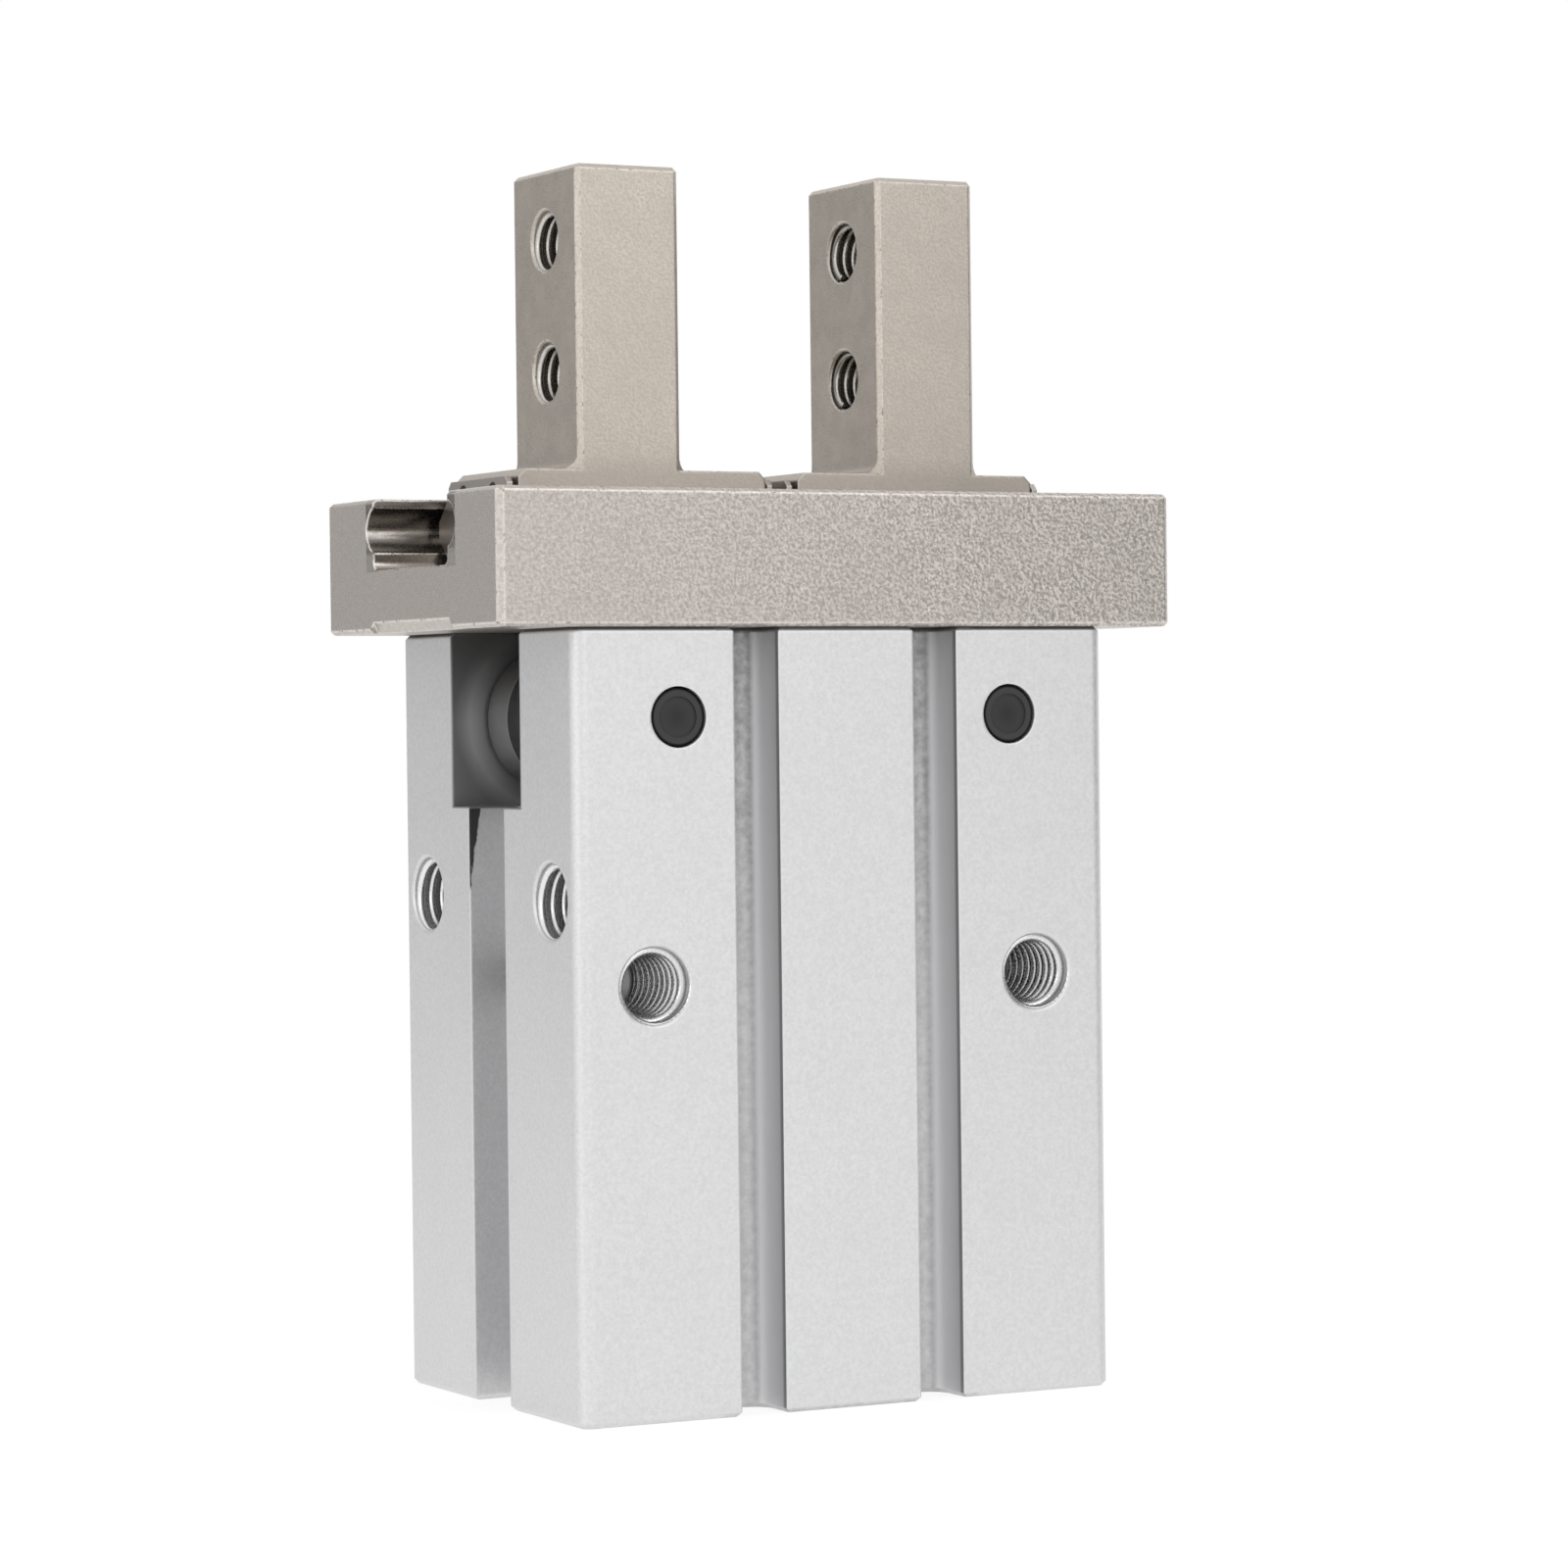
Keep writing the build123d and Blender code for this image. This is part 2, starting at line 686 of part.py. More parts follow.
def inner_stopper():
    """Stopper plate at the right carriage's inner end."""
    return Pos(carriage_inner, 0, 0) * mirrored(stopper_plate())


def stopper_screws():
    """The four headless screws that hold the right finger's stopper plates, their ends flush."""
    radius = stopper_screw_radius - thread_fit
    outer_face = carriage_outer + stopper_thickness
    inner_face = carriage_inner - stopper_thickness
    screws = []
    for y in (-stopper_screw_y, stopper_screw_y):
        screws.append(rod_along_x(radius, y, guide_top, outer_face - stopper_screw_length, outer_face))
        screws.append(rod_along_x(radius, y, guide_top, inner_face, inner_face + stopper_screw_length))
    return Compound(screws)


def ball():
    """Ball as 26 flat faces with their corners on the true sphere, because the rows hold twenty."""
    corner = 2 ** 0.5 - 1
    half = ball_radius / hypot(1, corner, corner)
    cube = Box(2 * half, 2 * half, 2 * half)
    return chamfer(cube.edges(), half * (1 - corner))


def ball_row(y):
    """Loose balls in one groove of the right finger."""
    first = row_centre - ball_pitch * (ball_count - 1) / 2
    return Compound([Pos(first + ball_pitch * k, y, ball_z) * ball() for k in range(ball_count)])


def write(name, shape):
    """Write one named piece."""
    export_step(shape, "parts/" + name + ".step")


def build():
    """Make every piece and write it."""
    os.makedirs("parts", exist_ok=True)
    write("housing", housing())
    write("guide_rail", guide_rail())
    write("guide_screws", guide_screws())
    write("end_cap", end_cap())
    write("cap_oring", cap_oring())
    write("retaining_ring", retaining_ring())
    write("rod_bushing", rod_bushing())
    write("rod_seal", rod_seal())
    write("seal_retainer", seal_retainer())
    write("lower_damper", lower_damper())
    write("upper_damper", upper_damper())
    write("piston", piston())
    write("piston_rod", piston_rod())
    write("piston_bolt", piston_bolt())
    write("piston_seal", piston_seal())
    write("magnet_ring", magnet_ring())
    plug = shaft_plug()
    rear_plug = mirror(plug, about=Plane.XZ)
    right_hand = {
        "lever_shaft": lever_shaft(), "shaft_plug_front": plug, "shaft_plug_rear": rear_plug,
        "lever": lever(), "lever_pins": lever_pins(), "lever_rollers": lever_rollers(),
        "finger": finger(), "outer_stopper": outer_stopper(), "inner_stopper": inner_stopper(),
        "stopper_screws": stopper_screws(), "balls_front": ball_row(-ball_y), "balls_rear": ball_row(ball_y)}
    for name, shape in right_hand.items():
        write(name + "_right", shape)
        write(name + "_left", mirrored(shape))


build()
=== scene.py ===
"""Look of the pneumatic parallel gripper: finishes, thread turns, camera, floor and light.

The frame's axes: X is the fingers' travel, -Y the front, Z up. Sizes and places on the part are in
millimetres, and those of the camera, the floor and the lights are in metres.
"""
import json
from math import cos, pi, radians, sin

import bmesh
import bpy
from mathutils import Matrix, Vector


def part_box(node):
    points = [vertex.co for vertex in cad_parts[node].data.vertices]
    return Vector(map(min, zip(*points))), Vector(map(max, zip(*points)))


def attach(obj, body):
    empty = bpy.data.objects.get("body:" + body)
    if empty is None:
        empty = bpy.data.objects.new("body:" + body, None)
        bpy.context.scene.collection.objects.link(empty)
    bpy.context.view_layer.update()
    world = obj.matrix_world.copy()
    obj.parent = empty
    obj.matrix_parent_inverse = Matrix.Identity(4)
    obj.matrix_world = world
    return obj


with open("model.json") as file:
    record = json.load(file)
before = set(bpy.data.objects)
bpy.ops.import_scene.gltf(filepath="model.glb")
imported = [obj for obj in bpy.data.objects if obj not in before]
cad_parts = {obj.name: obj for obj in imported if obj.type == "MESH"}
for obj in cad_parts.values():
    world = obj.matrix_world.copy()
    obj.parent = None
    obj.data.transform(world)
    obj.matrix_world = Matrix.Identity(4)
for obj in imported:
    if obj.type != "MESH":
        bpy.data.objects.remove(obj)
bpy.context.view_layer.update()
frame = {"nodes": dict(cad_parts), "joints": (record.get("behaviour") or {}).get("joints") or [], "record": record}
MM = 0.001

# Camera fitted to the photograph, taken as 1600 pixels square
IMAGE_PIXELS = 1600
FOCAL_PIXELS = 4944.6
SENSOR_MM = 36.0
CAMERA_YAW = radians(27.951)
CAMERA_PITCH = radians(0.693)
CAMERA_ROLL = radians(-0.652)
CAMERA_DISTANCE = 331.35 * MM
CAMERA_AIM = Vector((0.0, 0.0, 42.0)) * MM
CAMERA_SHIFT_RIGHT = -2.283 * MM
CAMERA_SHIFT_UP = 0.948 * MM

# Boxes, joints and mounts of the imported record
HALF_WIDTH, HALF_DEPTH, HOUSING_TOP = (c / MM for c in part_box("housing")[1])
RAIL_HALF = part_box("guide_rail")[1].x / MM
RAIL_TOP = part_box("guide_rail")[1].z / MM
JOINTS = {joint["name"]: joint for joint in frame["joints"]}
MOUNTS = {mount["name"]: mount for mount in frame["record"]["mounts"]}
PIVOT_X, _, PIVOT_Z = (c / MM for c in JOINTS["lever_swing_right"]["pos_m"])

# Margins of the masks at walls and at open faces
WALL_MARGIN = 0.1
FACE_MARGIN = 0.05

# Lever slot across the housing, with the band of painted reflection of the lever's hub on its walls
SLOT_HALF = 5.45
SLOT_FLOOR = HOUSING_TOP - 11.7
HUB_REFLECTION_RADIUS = 6.1
HUB_REFLECTION_HALF = 1.1
HUB_REFLECTION_TOP = HOUSING_TOP - 1.5

# Sensor grooves in the front and the rear: how far aside they lie, a place inside their floors, and
# the reach of the painted shade at their walls' mouths and of the painted shadow under their lips
GROOVES_HALF = 9.6
GROOVES_INSIDE = 9.0
MOUTH_SHADE_FADE = 3.0
LIP_SHADOW_DEPTH = 0.45

# Ragged dark mark in the side groove, from the slot's floor down to its foot: its widths at both ends,
# and how far back its wall lies
MARK_WIDTH = 0.9
MARK_TIP = 0.12
MARK_FOOT = SLOT_FLOOR - 5.4
MARK_WALL = 6.0

# Plugs' painted dish shade and ring-gap shadow, painted shadow under the rail, ball channel, darker finger foot
PLUG_DISH_SHADE = 1.5
PLUG_GAP_SHADOW = 1.75
RAIL_SHADOW_LINE = 0.2
CHANNEL_HALF = 7.3
CHANNEL_FLOOR = RAIL_TOP - 4.8
CHANNEL_FOOT = 1.1
DARKER_FOOT_TOP = RAIL_TOP + 2.0

# Threads: radius at the wall and pitch, and the threaded depths
M5 = (2.5, 0.8)
M4 = (2.0, 0.7)
FACE_THREAD = 8.0
SIDE_THREAD = 7.0
PORT_THREAD = 4.8
BASE_THREAD = 7.6
FINGER_THREAD = 7.54
HOLE_EDGE = 0.15
MOUTH_SKIP = 0.03
RUN_IN = 0.02
TURN_STEPS = 40
CREST_DEPTH_SHARE = 0.55
CREST_FLAT_SHARE = 0.07
BASE_SHARE = 0.48
WALL_SINK = 0.03

# Colours
ALUMINIUM = (0.735, 0.735, 0.742)
# Edge colour, lighter from wear and from painted highlight
ALUMINIUM_WORN_HIGHLIT = (0.84, 0.84, 0.85)
# Lever slot: painted shade on its walls, and painted reflection of the lever's hub
SLOT_SHADE = (0.375, 0.375, 0.38)
SLOT_HUB_REFLECTION = (0.66, 0.66, 0.665)
PLUG = (0.046, 0.045, 0.047)
STEEL = (0.520, 0.480, 0.445)
FINGER_TINT = (0.535, 0.487, 0.430)
# Edge colour, lighter from wear and from painted highlight
STEEL_WORN_HIGHLIT = (0.86, 0.82, 0.77)
# Painted shade of the ball channel
STEEL_CHANNEL_SHADE = (0.16, 0.15, 0.145)

# Stage, in metres, watts and shares of white
FLOOR_SIZE = 6.0
FLOOR_PLAIN = 0.8
FLOOR_GLOW = 0.82
FLOOR_SHADOW = 0.25
FLAGS = {
    "flag_rear_left": ((-0.25, 0.42, 0.10), 0.5, 0.58),
    "flag_right": ((0.37, -0.21, 0.10), 0.36, 0.10),
}
LAMPS = {
    "key_front_right": ((0.25, -0.7, 0.45), 0.4, 1.0),
    "fill_left": ((-0.8, -0.3, 0.3), 0.5, 0.6),
}
LIGHT_AIM = (0.0, 0.0, 0.04)
WORLD_LEVEL = 0.8


def collection_add(obj):
    """Put a new object in the scene."""
    bpy.context.scene.collection.objects.link(obj)
    return obj


class Nodes:
    """Short way to build one material's node tree, with lengths in millimetres."""

    def __init__(self, name):
        self.material = bpy.data.materials.new(name)
        self.material.use_nodes = True
        self.tree = self.material.node_tree
        self.shader = self.tree.nodes["Principled BSDF"]
        self.coordinates = self.add("ShaderNodeTexCoord")
        self.place = self.coordinates.outputs["Object"]

    def add(self, kind, **settings):
        """New node, with its properties set."""
        node = self.tree.nodes.new(kind)
        for key, value in settings.items():
            setattr(node, key, value)
        return node

    def link(self, source, target):
        """Join two sockets."""
        self.tree.links.new(source, target)

    def feed(self, socket, value):
        """Give a socket a number, a colour or another node's output."""
        if isinstance(value, (int, float)):
            socket.default_value = value
        elif isinstance(value, tuple):
            socket.default_value = (*value, 1.0)
        else:
            self.link(value, socket)

    def fill(self, node, values):
        """Give a node's named sockets their values."""
        for name, value in values.items():
            self.feed(node.inputs[name], value)

    def noise(self, size_mm, detail=3.0, roughness=0.5, stretch=(1.0, 1.0, 1.0), shift_mm=0.0):
        """Noise whose blobs are about size_mm across, scaled along X, Y and Z and moved."""
        mapping = self.add("ShaderNodeMapping")
        mapping.inputs["Location"].default_value = (shift_mm * MM, shift_mm * MM, shift_mm * MM)
        mapping.inputs["Scale"].default_value = stretch
        self.link(self.place, mapping.inputs["Vector"])
        node = self.add("ShaderNodeTexNoise")
        self.link(mapping.outputs["Vector"], node.inputs["Vector"])
        self.fill(node, {"Scale": 1.0 / (size_mm * MM), "Detail": detail, "Roughness": roughness})
        return node.outputs["Fac"]

    def painted_relief(self, size_mm, shift_mm, detail=2.0, spread=0.14):
        """Zero to one across small bumps, from flank to flank, as light from one side shows them."""
        near = self.noise(size_mm, detail)
        far = self.noise(size_mm, detail, shift_mm=shift_mm)
        return self.span(self.maths("SUBTRACT", near, far), 0.0, 1.0, -spread, spread)

    def span(self, fac, low, high, from_low=0.3, from_high=0.7):
        """Value spread from one range over another, held at both ends."""
        node = self.add("ShaderNodeMapRange")
        self.fill(node, {"Value": fac, "From Min": from_low, "From Max": from_high})
        self.fill(node, {"To Min": low, "To Max": high})
        return node.outputs["Result"]

    def maths(self, operation, first, second=0.0):
        """One operation on two sockets or numbers."""
        node = self.add("ShaderNodeMath", operation=operation)
        self.feed(node.inputs[0], first)
        self.feed(node.inputs[1], second)
        return node.outputs[0]

    def every(self, first, *others):
        """One where all the masks are one, as their product."""
        for mask in others:
            first = self.maths("MULTIPLY", first, mask)
        return first

    def mix(self, fac, first, second):
        """Mix of two colours, by the node's colour sockets."""
        node = self.add("ShaderNodeMix", data_type="RGBA")
        self.feed(node.inputs[0], fac)
        self.feed(node.inputs[6], first)
        self.feed(node.inputs[7], second)
        return node.outputs[2]

    def split(self, vector):
        """A vector's X, Y and Z."""
        node = self.add("ShaderNodeSeparateXYZ")
        self.link(vector, node.inputs[0])
        return node.outputs

    def place_mm(self):
        """Place along X, Y and Z."""
        return [self.maths("DIVIDE", out, MM) for out in self.split(self.place)]

    def reach_mm(self):
        """Distance to the side and to the front or rear of the object's middle, and height."""
        return [self.maths("ABSOLUTE", out) for out in self.place_mm()]

    def faces(self):
        """How far the surface faces along X, Y and Z, either way."""
        return [self.maths("ABSOLUTE", out) for out in self.split(self.coordinates.outputs["Normal"])]

    def above(self, value, edge, soft=0.02):
        """One where the value is over an edge."""
        return self.span(value, 0.0, 1.0, edge - soft, edge + soft)

    def below(self, value, edge, soft=0.02):
        """One where the value is under an edge."""
        return self.span(value, 1.0, 0.0, edge - soft, edge + soft)

    def between(self, value, low, high, soft=0.02):
        """One where the value lies between two edges."""
        return self.every(self.above(value, low, soft), self.below(value, high, soft))

    def edges(self, radius_mm, low=0.02, high=0.25):
        """One near an edge, zero elsewhere, from how far a rounded normal leans."""
        geometry = self.add("ShaderNodeNewGeometry")
        dot = self.add("ShaderNodeVectorMath", operation="DOT_PRODUCT")
        self.link(self.rounded(radius_mm), dot.inputs[0])
        self.link(geometry.outputs["Normal"], dot.inputs[1])
        return self.span(self.maths("SUBTRACT", 1.0, dot.outputs["Value"]), 0.0, 1.0, low, high)

    def chips(self, radius_mm, size_mm):
        """One in small dents along an edge."""
        dents = self.above(self.noise(size_mm, 3.0, 0.6), 0.60, 0.03)
        return self.every(self.edges(radius_mm, 0.01, 0.05), dents)

    def occlusion_shade(self, reach_mm, closed=0.25, open_at=0.85):
        """One deep in a groove or hole, zero on an open face, from ambient occlusion: the mask of painted shade.
        """
        node = self.add("ShaderNodeAmbientOcclusion", samples=8, only_local=True)
        node.inputs["Distance"].default_value = reach_mm * MM
        return self.span(node.outputs["AO"], 1.0, 0.0, closed, open_at)

    def rounded(self, radius_mm):
        """Normal that turns softly round edges."""
        bevel = self.add("ShaderNodeBevel", samples=6)
        bevel.inputs["Radius"].default_value = radius_mm * MM
        return bevel.outputs["Normal"]

    def bump(self, height, distance_mm, normal, strength=1.0):
        """Bump whose full height is distance_mm, on a normal."""
        node = self.add("ShaderNodeBump")
        node.inputs["Distance"].default_value = distance_mm * MM
        self.fill(node, {"Strength": strength, "Height": height, "Normal": normal})
        return node.outputs["Normal"]

    def finish(self, colour, roughness, normal, metallic=1.0):
        """Set the shader's sockets, linked or constant."""
        self.fill(self.shader, {"Base Color": colour, "Roughness": roughness, "Normal": normal})
        self.feed(self.shader.inputs["Metallic"], metallic)
        return self.material


def shade(colour, factor):
    """Colour made darker or lighter by a factor."""
    return tuple(factor * c for c in colour)


def trough(n, half, floor, top):
    """One inside a trough along X, from its floor to its top and up to half on either side."""
    _, depth, height = n.reach_mm()
    return n.every(n.below(depth, half), n.between(height, floor, top))


def from_pivot(n):
    """Distance from the nearer lever's axis."""
    aside, _, height = n.reach_mm()
    offset = n.add("ShaderNodeCombineXYZ")
    n.link(n.maths("SUBTRACT", aside, PIVOT_X), offset.inputs["X"])
    n.link(n.maths("SUBTRACT", height, PIVOT_Z), offset.inputs["Z"])
    length = n.add("ShaderNodeVectorMath", operation="LENGTH")
    n.link(offset.outputs[0], length.inputs[0])
    return length.outputs["Value"]


def side_groove_mark(n):
    """One on the ragged dark mark at the mouth of the side groove's rear wall, under the slot."""
    x, y, z = n.place_mm()
    ragged = n.span(n.noise(0.5, 4.0, 0.6, (1.0, 1.0, 0.35)), -0.22, 0.08)
    taper = n.span(z, MARK_TIP, MARK_WIDTH, MARK_FOOT, SLOT_FLOOR)
    from_edge = n.maths("SUBTRACT", x, n.maths("ADD", taper, ragged))
    inside = n.below(from_edge, -HALF_WIDTH, 0.05)
    rear_wall = n.every(n.between(y, 0.0, MARK_WALL, 0.1), n.above(n.faces()[1], 0.9))
    return n.every(inside, rear_wall, n.above(z, MARK_FOOT, 0.2))


def groove_floor(n, height):
    """Mottled floor of a sensor groove, darkened by painted shade towards the top."""
    mottle = n.span(n.noise(0.55, 3.0, 0.6), 0.0, 1.0)
    mottled = n.mix(mottle, shade(ALUMINIUM, 0.84), shade(ALUMINIUM, 1.06))
    # Painted shade towards the groove's top
    top_shaded = n.mix(mottle, shade(ALUMINIUM, 0.42), shade(ALUMINIUM, 0.82))
    return n.mix(n.span(height, 0.0, 1.0, 0.5 * HOUSING_TOP, HOUSING_TOP), mottled, top_shaded)


def groove_wall(n, depth):
    """Smooth wall of a sensor groove: painted light deep inside, painted shade towards its mouth, painted shadow
    at the lip.
    """
    lip = HALF_DEPTH - LIP_SHADOW_DEPTH
    mouth = n.span(depth, 0.0, 1.0, HALF_DEPTH - MOUTH_SHADE_FADE, lip)
    # Painted light deep inside, painted shade towards the mouth
    smooth = n.mix(mouth, shade(ALUMINIUM, 1.34), shade(ALUMINIUM, 0.7))
    # Painted shadow at the lip
    return n.mix(n.above(depth, lip, 0.1), smooth, shade(ALUMINIUM, 0.3))


def slot_wall(n, height):
    """Wall of the lever slot, dark with painted shade that deepens towards its top, and a band of painted
    reflection of the hub.
    """
    away = n.maths("ABSOLUTE", n.maths("SUBTRACT", from_pivot(n), HUB_REFLECTION_RADIUS))
    band = n.span(away, 1.0, 0.0, 0.0, HUB_REFLECTION_HALF)
    hub_reflection = n.every(band, n.span(height, 1.0, 0.15, PIVOT_Z, HUB_REFLECTION_TOP))
    shade_upwards = n.span(height, 0.0, 1.0, PIVOT_Z, HOUSING_TOP)
    return n.mix(hub_reflection, n.mix(shade_upwards, SLOT_SHADE, shade(SLOT_SHADE, 0.5)), SLOT_HUB_REFLECTION)


def anodised():
    """Clear anodised aluminium: pale satin with a fine even grain, painted shade in grooves, dark painted shade in
    the slot.
    """
    n = Nodes("anodised_aluminium_skin")
    aside, depth, height = n.reach_mm()
    grain = n.noise(0.24, 2.0, 0.7)
    pale = n.mix(n.span(grain, 0.0, 1.0), shade(ALUMINIUM, 0.93), shade(ALUMINIUM, 1.07))
    clouded = n.mix(n.span(n.noise(7.0, 2.0), 0.0, 0.12), pale, shade(ALUMINIUM, 0.86))
    # Edges lightened partly by wear, partly by painted highlight.
    worn_and_highlit = n.mix(n.maths("MULTIPLY", n.edges(0.3), 0.6), clouded, ALUMINIUM_WORN_HIGHLIT)
    # Painted shade: recesses darkened by ambient occlusion.
    recess_shaded = n.mix(n.occlusion_shade(4.0), worn_and_highlit, shade(ALUMINIUM, 0.97))
    in_groove = n.every(n.below(aside, GROOVES_HALF),
                        n.between(depth, GROOVES_INSIDE, HALF_DEPTH - FACE_MARGIN))
    walls = n.above(n.faces()[0], 0.75, 0.1)
    grooved = n.mix(in_groove, recess_shaded, n.mix(walls, groove_floor(n, height), groove_wall(n, depth)))
    marked = n.mix(side_groove_mark(n), grooved, shade(ALUMINIUM, 0.09))
    # Painted shade and painted reflection inside the lever slot.
    in_slot = trough(n, SLOT_HALF + WALL_MARGIN, SLOT_FLOOR - WALL_MARGIN, HOUSING_TOP - WALL_MARGIN)
    slotted = n.mix(in_slot, marked, slot_wall(n, height))
    # Painted shadow: a dark line along the housing's top, under the rail.
    rail_shadow_lined = n.mix(n.above(height, HOUSING_TOP - RAIL_SHADOW_LINE, 0.03), slotted, shade(ALUMINIUM, 0.3))
    metallic = n.span(in_groove, 0.78, 0.4, 0.0, 1.0)
    return n.finish(rail_shadow_lined, n.span(grain, 0.40, 0.48), n.bump(grain, 0.004, n.rounded(0.2)), metallic)


def blasted_rail(n):
    """Shot-blasted faces of the rail, with painted light and shade on the dimples, stronger towards its right end.
    """
    dimple_shading = n.maths("SUBTRACT", n.painted_relief(0.22, 0.065), 0.5)
    shading_strength = n.span(n.place_mm()[0], 0.36, 1.3, -RAIL_HALF, RAIL_HALF)
    level = n.maths("ADD", n.maths("MULTIPLY", dimple_shading, shading_strength), 0.5)
    blasted = n.mix(level, shade(STEEL, 0.68), shade(STEEL, 1.32))
    return n.mix(n.span(n.noise(4.0, 2.0), 0.0, 0.25), blasted, shade(STEEL, 0.9))


def shaded_polished_channel(n):
    """Walls of the ball channel, polished along X, dark with painted shade, lighter at their foot."""
    streaks = n.span(n.noise(0.5, 2.0, 0.5, (0.15, 1.0, 1.0)), 0.0, 1.0)
    polish_and_shade = n.mix(streaks, STEEL_CHANNEL_SHADE, shade(STEEL, 0.66))
    foot = n.below(n.reach_mm()[2], CHANNEL_FLOOR + CHANNEL_FOOT, 0.15)
    return n.mix(n.maths("MULTIPLY", foot, 0.75), polish_and_shade, shade(STEEL, 1.15))


def rail_steel():
    """Nickel-tinted hardened steel: shot-blasted outside, ground ends, polished ball channel dark with painted
    shade.
    """
    n = Nodes("blasted_rail_steel_skin")
    ends = n.above(n.faces()[0], 0.9)
    channel = trough(n, CHANNEL_HALF, CHANNEL_FLOOR - WALL_MARGIN, RAIL_TOP - FACE_MARGIN)
    smooth = n.maths("MAXIMUM", ends, channel)
    pits = n.noise(0.40, 2.0, 0.55)
    fine = n.noise(0.12, 2.0, 0.5)
    ground = n.mix(n.span(fine, 0.0, 1.0), shade(STEEL, 1.28), shade(STEEL, 1.37))
    colour = n.mix(channel, n.mix(ends, blasted_rail(n), ground), shaded_polished_channel(n))
    # Edges lightened partly by wear, partly by painted highlight.
    worn_and_highlit = n.mix(n.edges(0.26, 0.012, 0.07), colour, STEEL_WORN_HIGHLIT)
    chipped = n.mix(n.chips(0.2, 0.5), worn_and_highlit, shade(STEEL, 0.4))
    rough = n.mix(smooth, n.span(pits, 0.34, 0.46), n.span(fine, 0.2, 0.3))
    strength = n.maths("SUBTRACT", 1.0, n.maths("MULTIPLY", smooth, 0.92))
    return n.finish(chipped, rough, n.bump(pits, 0.035, n.rounded(0.25), strength))


def finger_steel():
    """The same steel, blasted finely on the fronts, ground on the gripping sides, darker at the foot."""
    n = Nodes("finger_steel_skin")
    sides = n.above(n.faces()[0], 0.9)
    pits = n.noise(0.22, 2.0, 0.55)
    # Painted light and shade on the fine blast's bumps
    blasted = n.mix(n.painted_relief(0.18, 0.055), shade(FINGER_TINT, 0.89), shade(FINGER_TINT, 1.11))
    clouded = n.mix(n.span(n.noise(2.2, 3.0), 0.0, 0.4), blasted, shade(FINGER_TINT, 0.86))
    ground = n.mix(n.span(n.noise(1.6, 2.0), 0.0, 1.0), shade(FINGER_TINT, 1.04), shade(FINGER_TINT, 1.18))
    # Edges lightened partly by wear, partly by painted highlight, broken by noise.
    nicked_and_highlit = n.every(n.edges(0.17, 0.015, 0.09), n.span(n.noise(0.5, 3.0), 0.3, 1.0))
    worn_and_highlit = n.mix(nicked_and_highlit, n.mix(sides, clouded, ground), STEEL_WORN_HIGHLIT)
    chipped = n.mix(n.chips(0.16, 0.45), worn_and_highlit, shade(FINGER_TINT, 0.3))
    foot_darkening = n.maths("MULTIPLY", n.below(n.reach_mm()[2], DARKER_FOOT_TOP, 0.8), 0.55)
    darker_foot = n.mix(foot_darkening, chipped, shade(FINGER_TINT, 0.76))
    # Painted shade: recesses darkened by ambient occlusion.
    recess_shaded = n.mix(n.occlusion_shade(2.0, 0.15, 0.7), darker_foot, shade(FINGER_TINT, 0.6))
    rough = n.mix(sides, n.span(pits, 0.36, 0.46), n.span(pits, 0.26, 0.34))
    return n.finish(recess_shaded, rough, n.bump(pits, 0.006, n.rounded(0.2)))


def plain_metal(name, colour, roughness):
    """Machined metal with a light grain."""
    n = Nodes(name)
    grain = n.noise(0.2, 3.0, 0.6)
    base = n.mix(n.span(grain, 0.0, 1.0), shade(colour, 0.9), colour)
    rough = n.span(grain, roughness - 0.05, roughness + 0.06)
    return n.finish(base, rough, n.bump(grain, 0.003, n.rounded(0.08)))


def stopper_steel():
    """Pressed steel plate: dark brushed face with a sheared edge, made lighter by painted highlight."""
    n = Nodes("stopper_steel_skin")
    grain = n.noise(0.2, 3.0, 0.6, (1.0, 1.0, 4.0))
    face = n.mix(n.span(grain, 0.0, 1.0), shade(STEEL, 0.84), shade(STEEL, 0.98))
    # Edge lightened by painted highlight.
    worn_and_highlit = n.mix(n.edges(0.15), face, shade(STEEL, 1.2))
    return n.finish(worn_and_highlit, n.span(grain, 0.28, 0.38), n.bump(grain, 0.003, n.rounded(0.1)))


def cut_thread(name, valley_shade, crest_light):
    """Thread turns: valleys darkened by painted shade, crests lit by painted highlight, from the painted
    brightness kept on the mesh.
    """
    n = Nodes(name)
    height = n.add("ShaderNodeAttribute", attribute_name="crest_light").outputs["Fac"]
    grain = n.noise(0.1, 2.0, 0.5)
    # Painted shade in the valleys, painted highlight on the crests
    colour = n.mix(n.span(height, 0.0, 1.0, 0.25, 0.95), valley_shade, crest_light)
    streaked = n.mix(n.span(grain, 0.0, 0.25), colour, valley_shade)
    return n.finish(streaked, n.span(grain, 0.22, 0.34), n.bump(grain, 0.003, n.rounded(0.05)))


def dark_plug():
    """Black plug: satin face darkened to its centre by painted shade, in a ring gap of painted shadow."""
    n = Nodes("dark_plug_skin")
    tooth = n.noise(0.15, 2.0, 0.5)
    radius = from_pivot(n)
    # Painted shade towards the centre, and painted shadow in the ring gap
    dish_shaded = n.mix(n.span(radius, 0.0, 1.0, 0.2, PLUG_DISH_SHADE), shade(PLUG, 0.66), shade(PLUG, 1.12))
    gap_shadowed = n.mix(n.above(radius, PLUG_GAP_SHADOW, 0.05), dish_shaded, shade(PLUG, 0.1))
    n.shader.inputs["Specular IOR Level"].default_value = 0.22
    rough = n.span(tooth, 0.36, 0.48)
    return n.finish(gap_shadowed, rough, n.bump(tooth, 0.006, n.rounded(0.1)), 0.0)


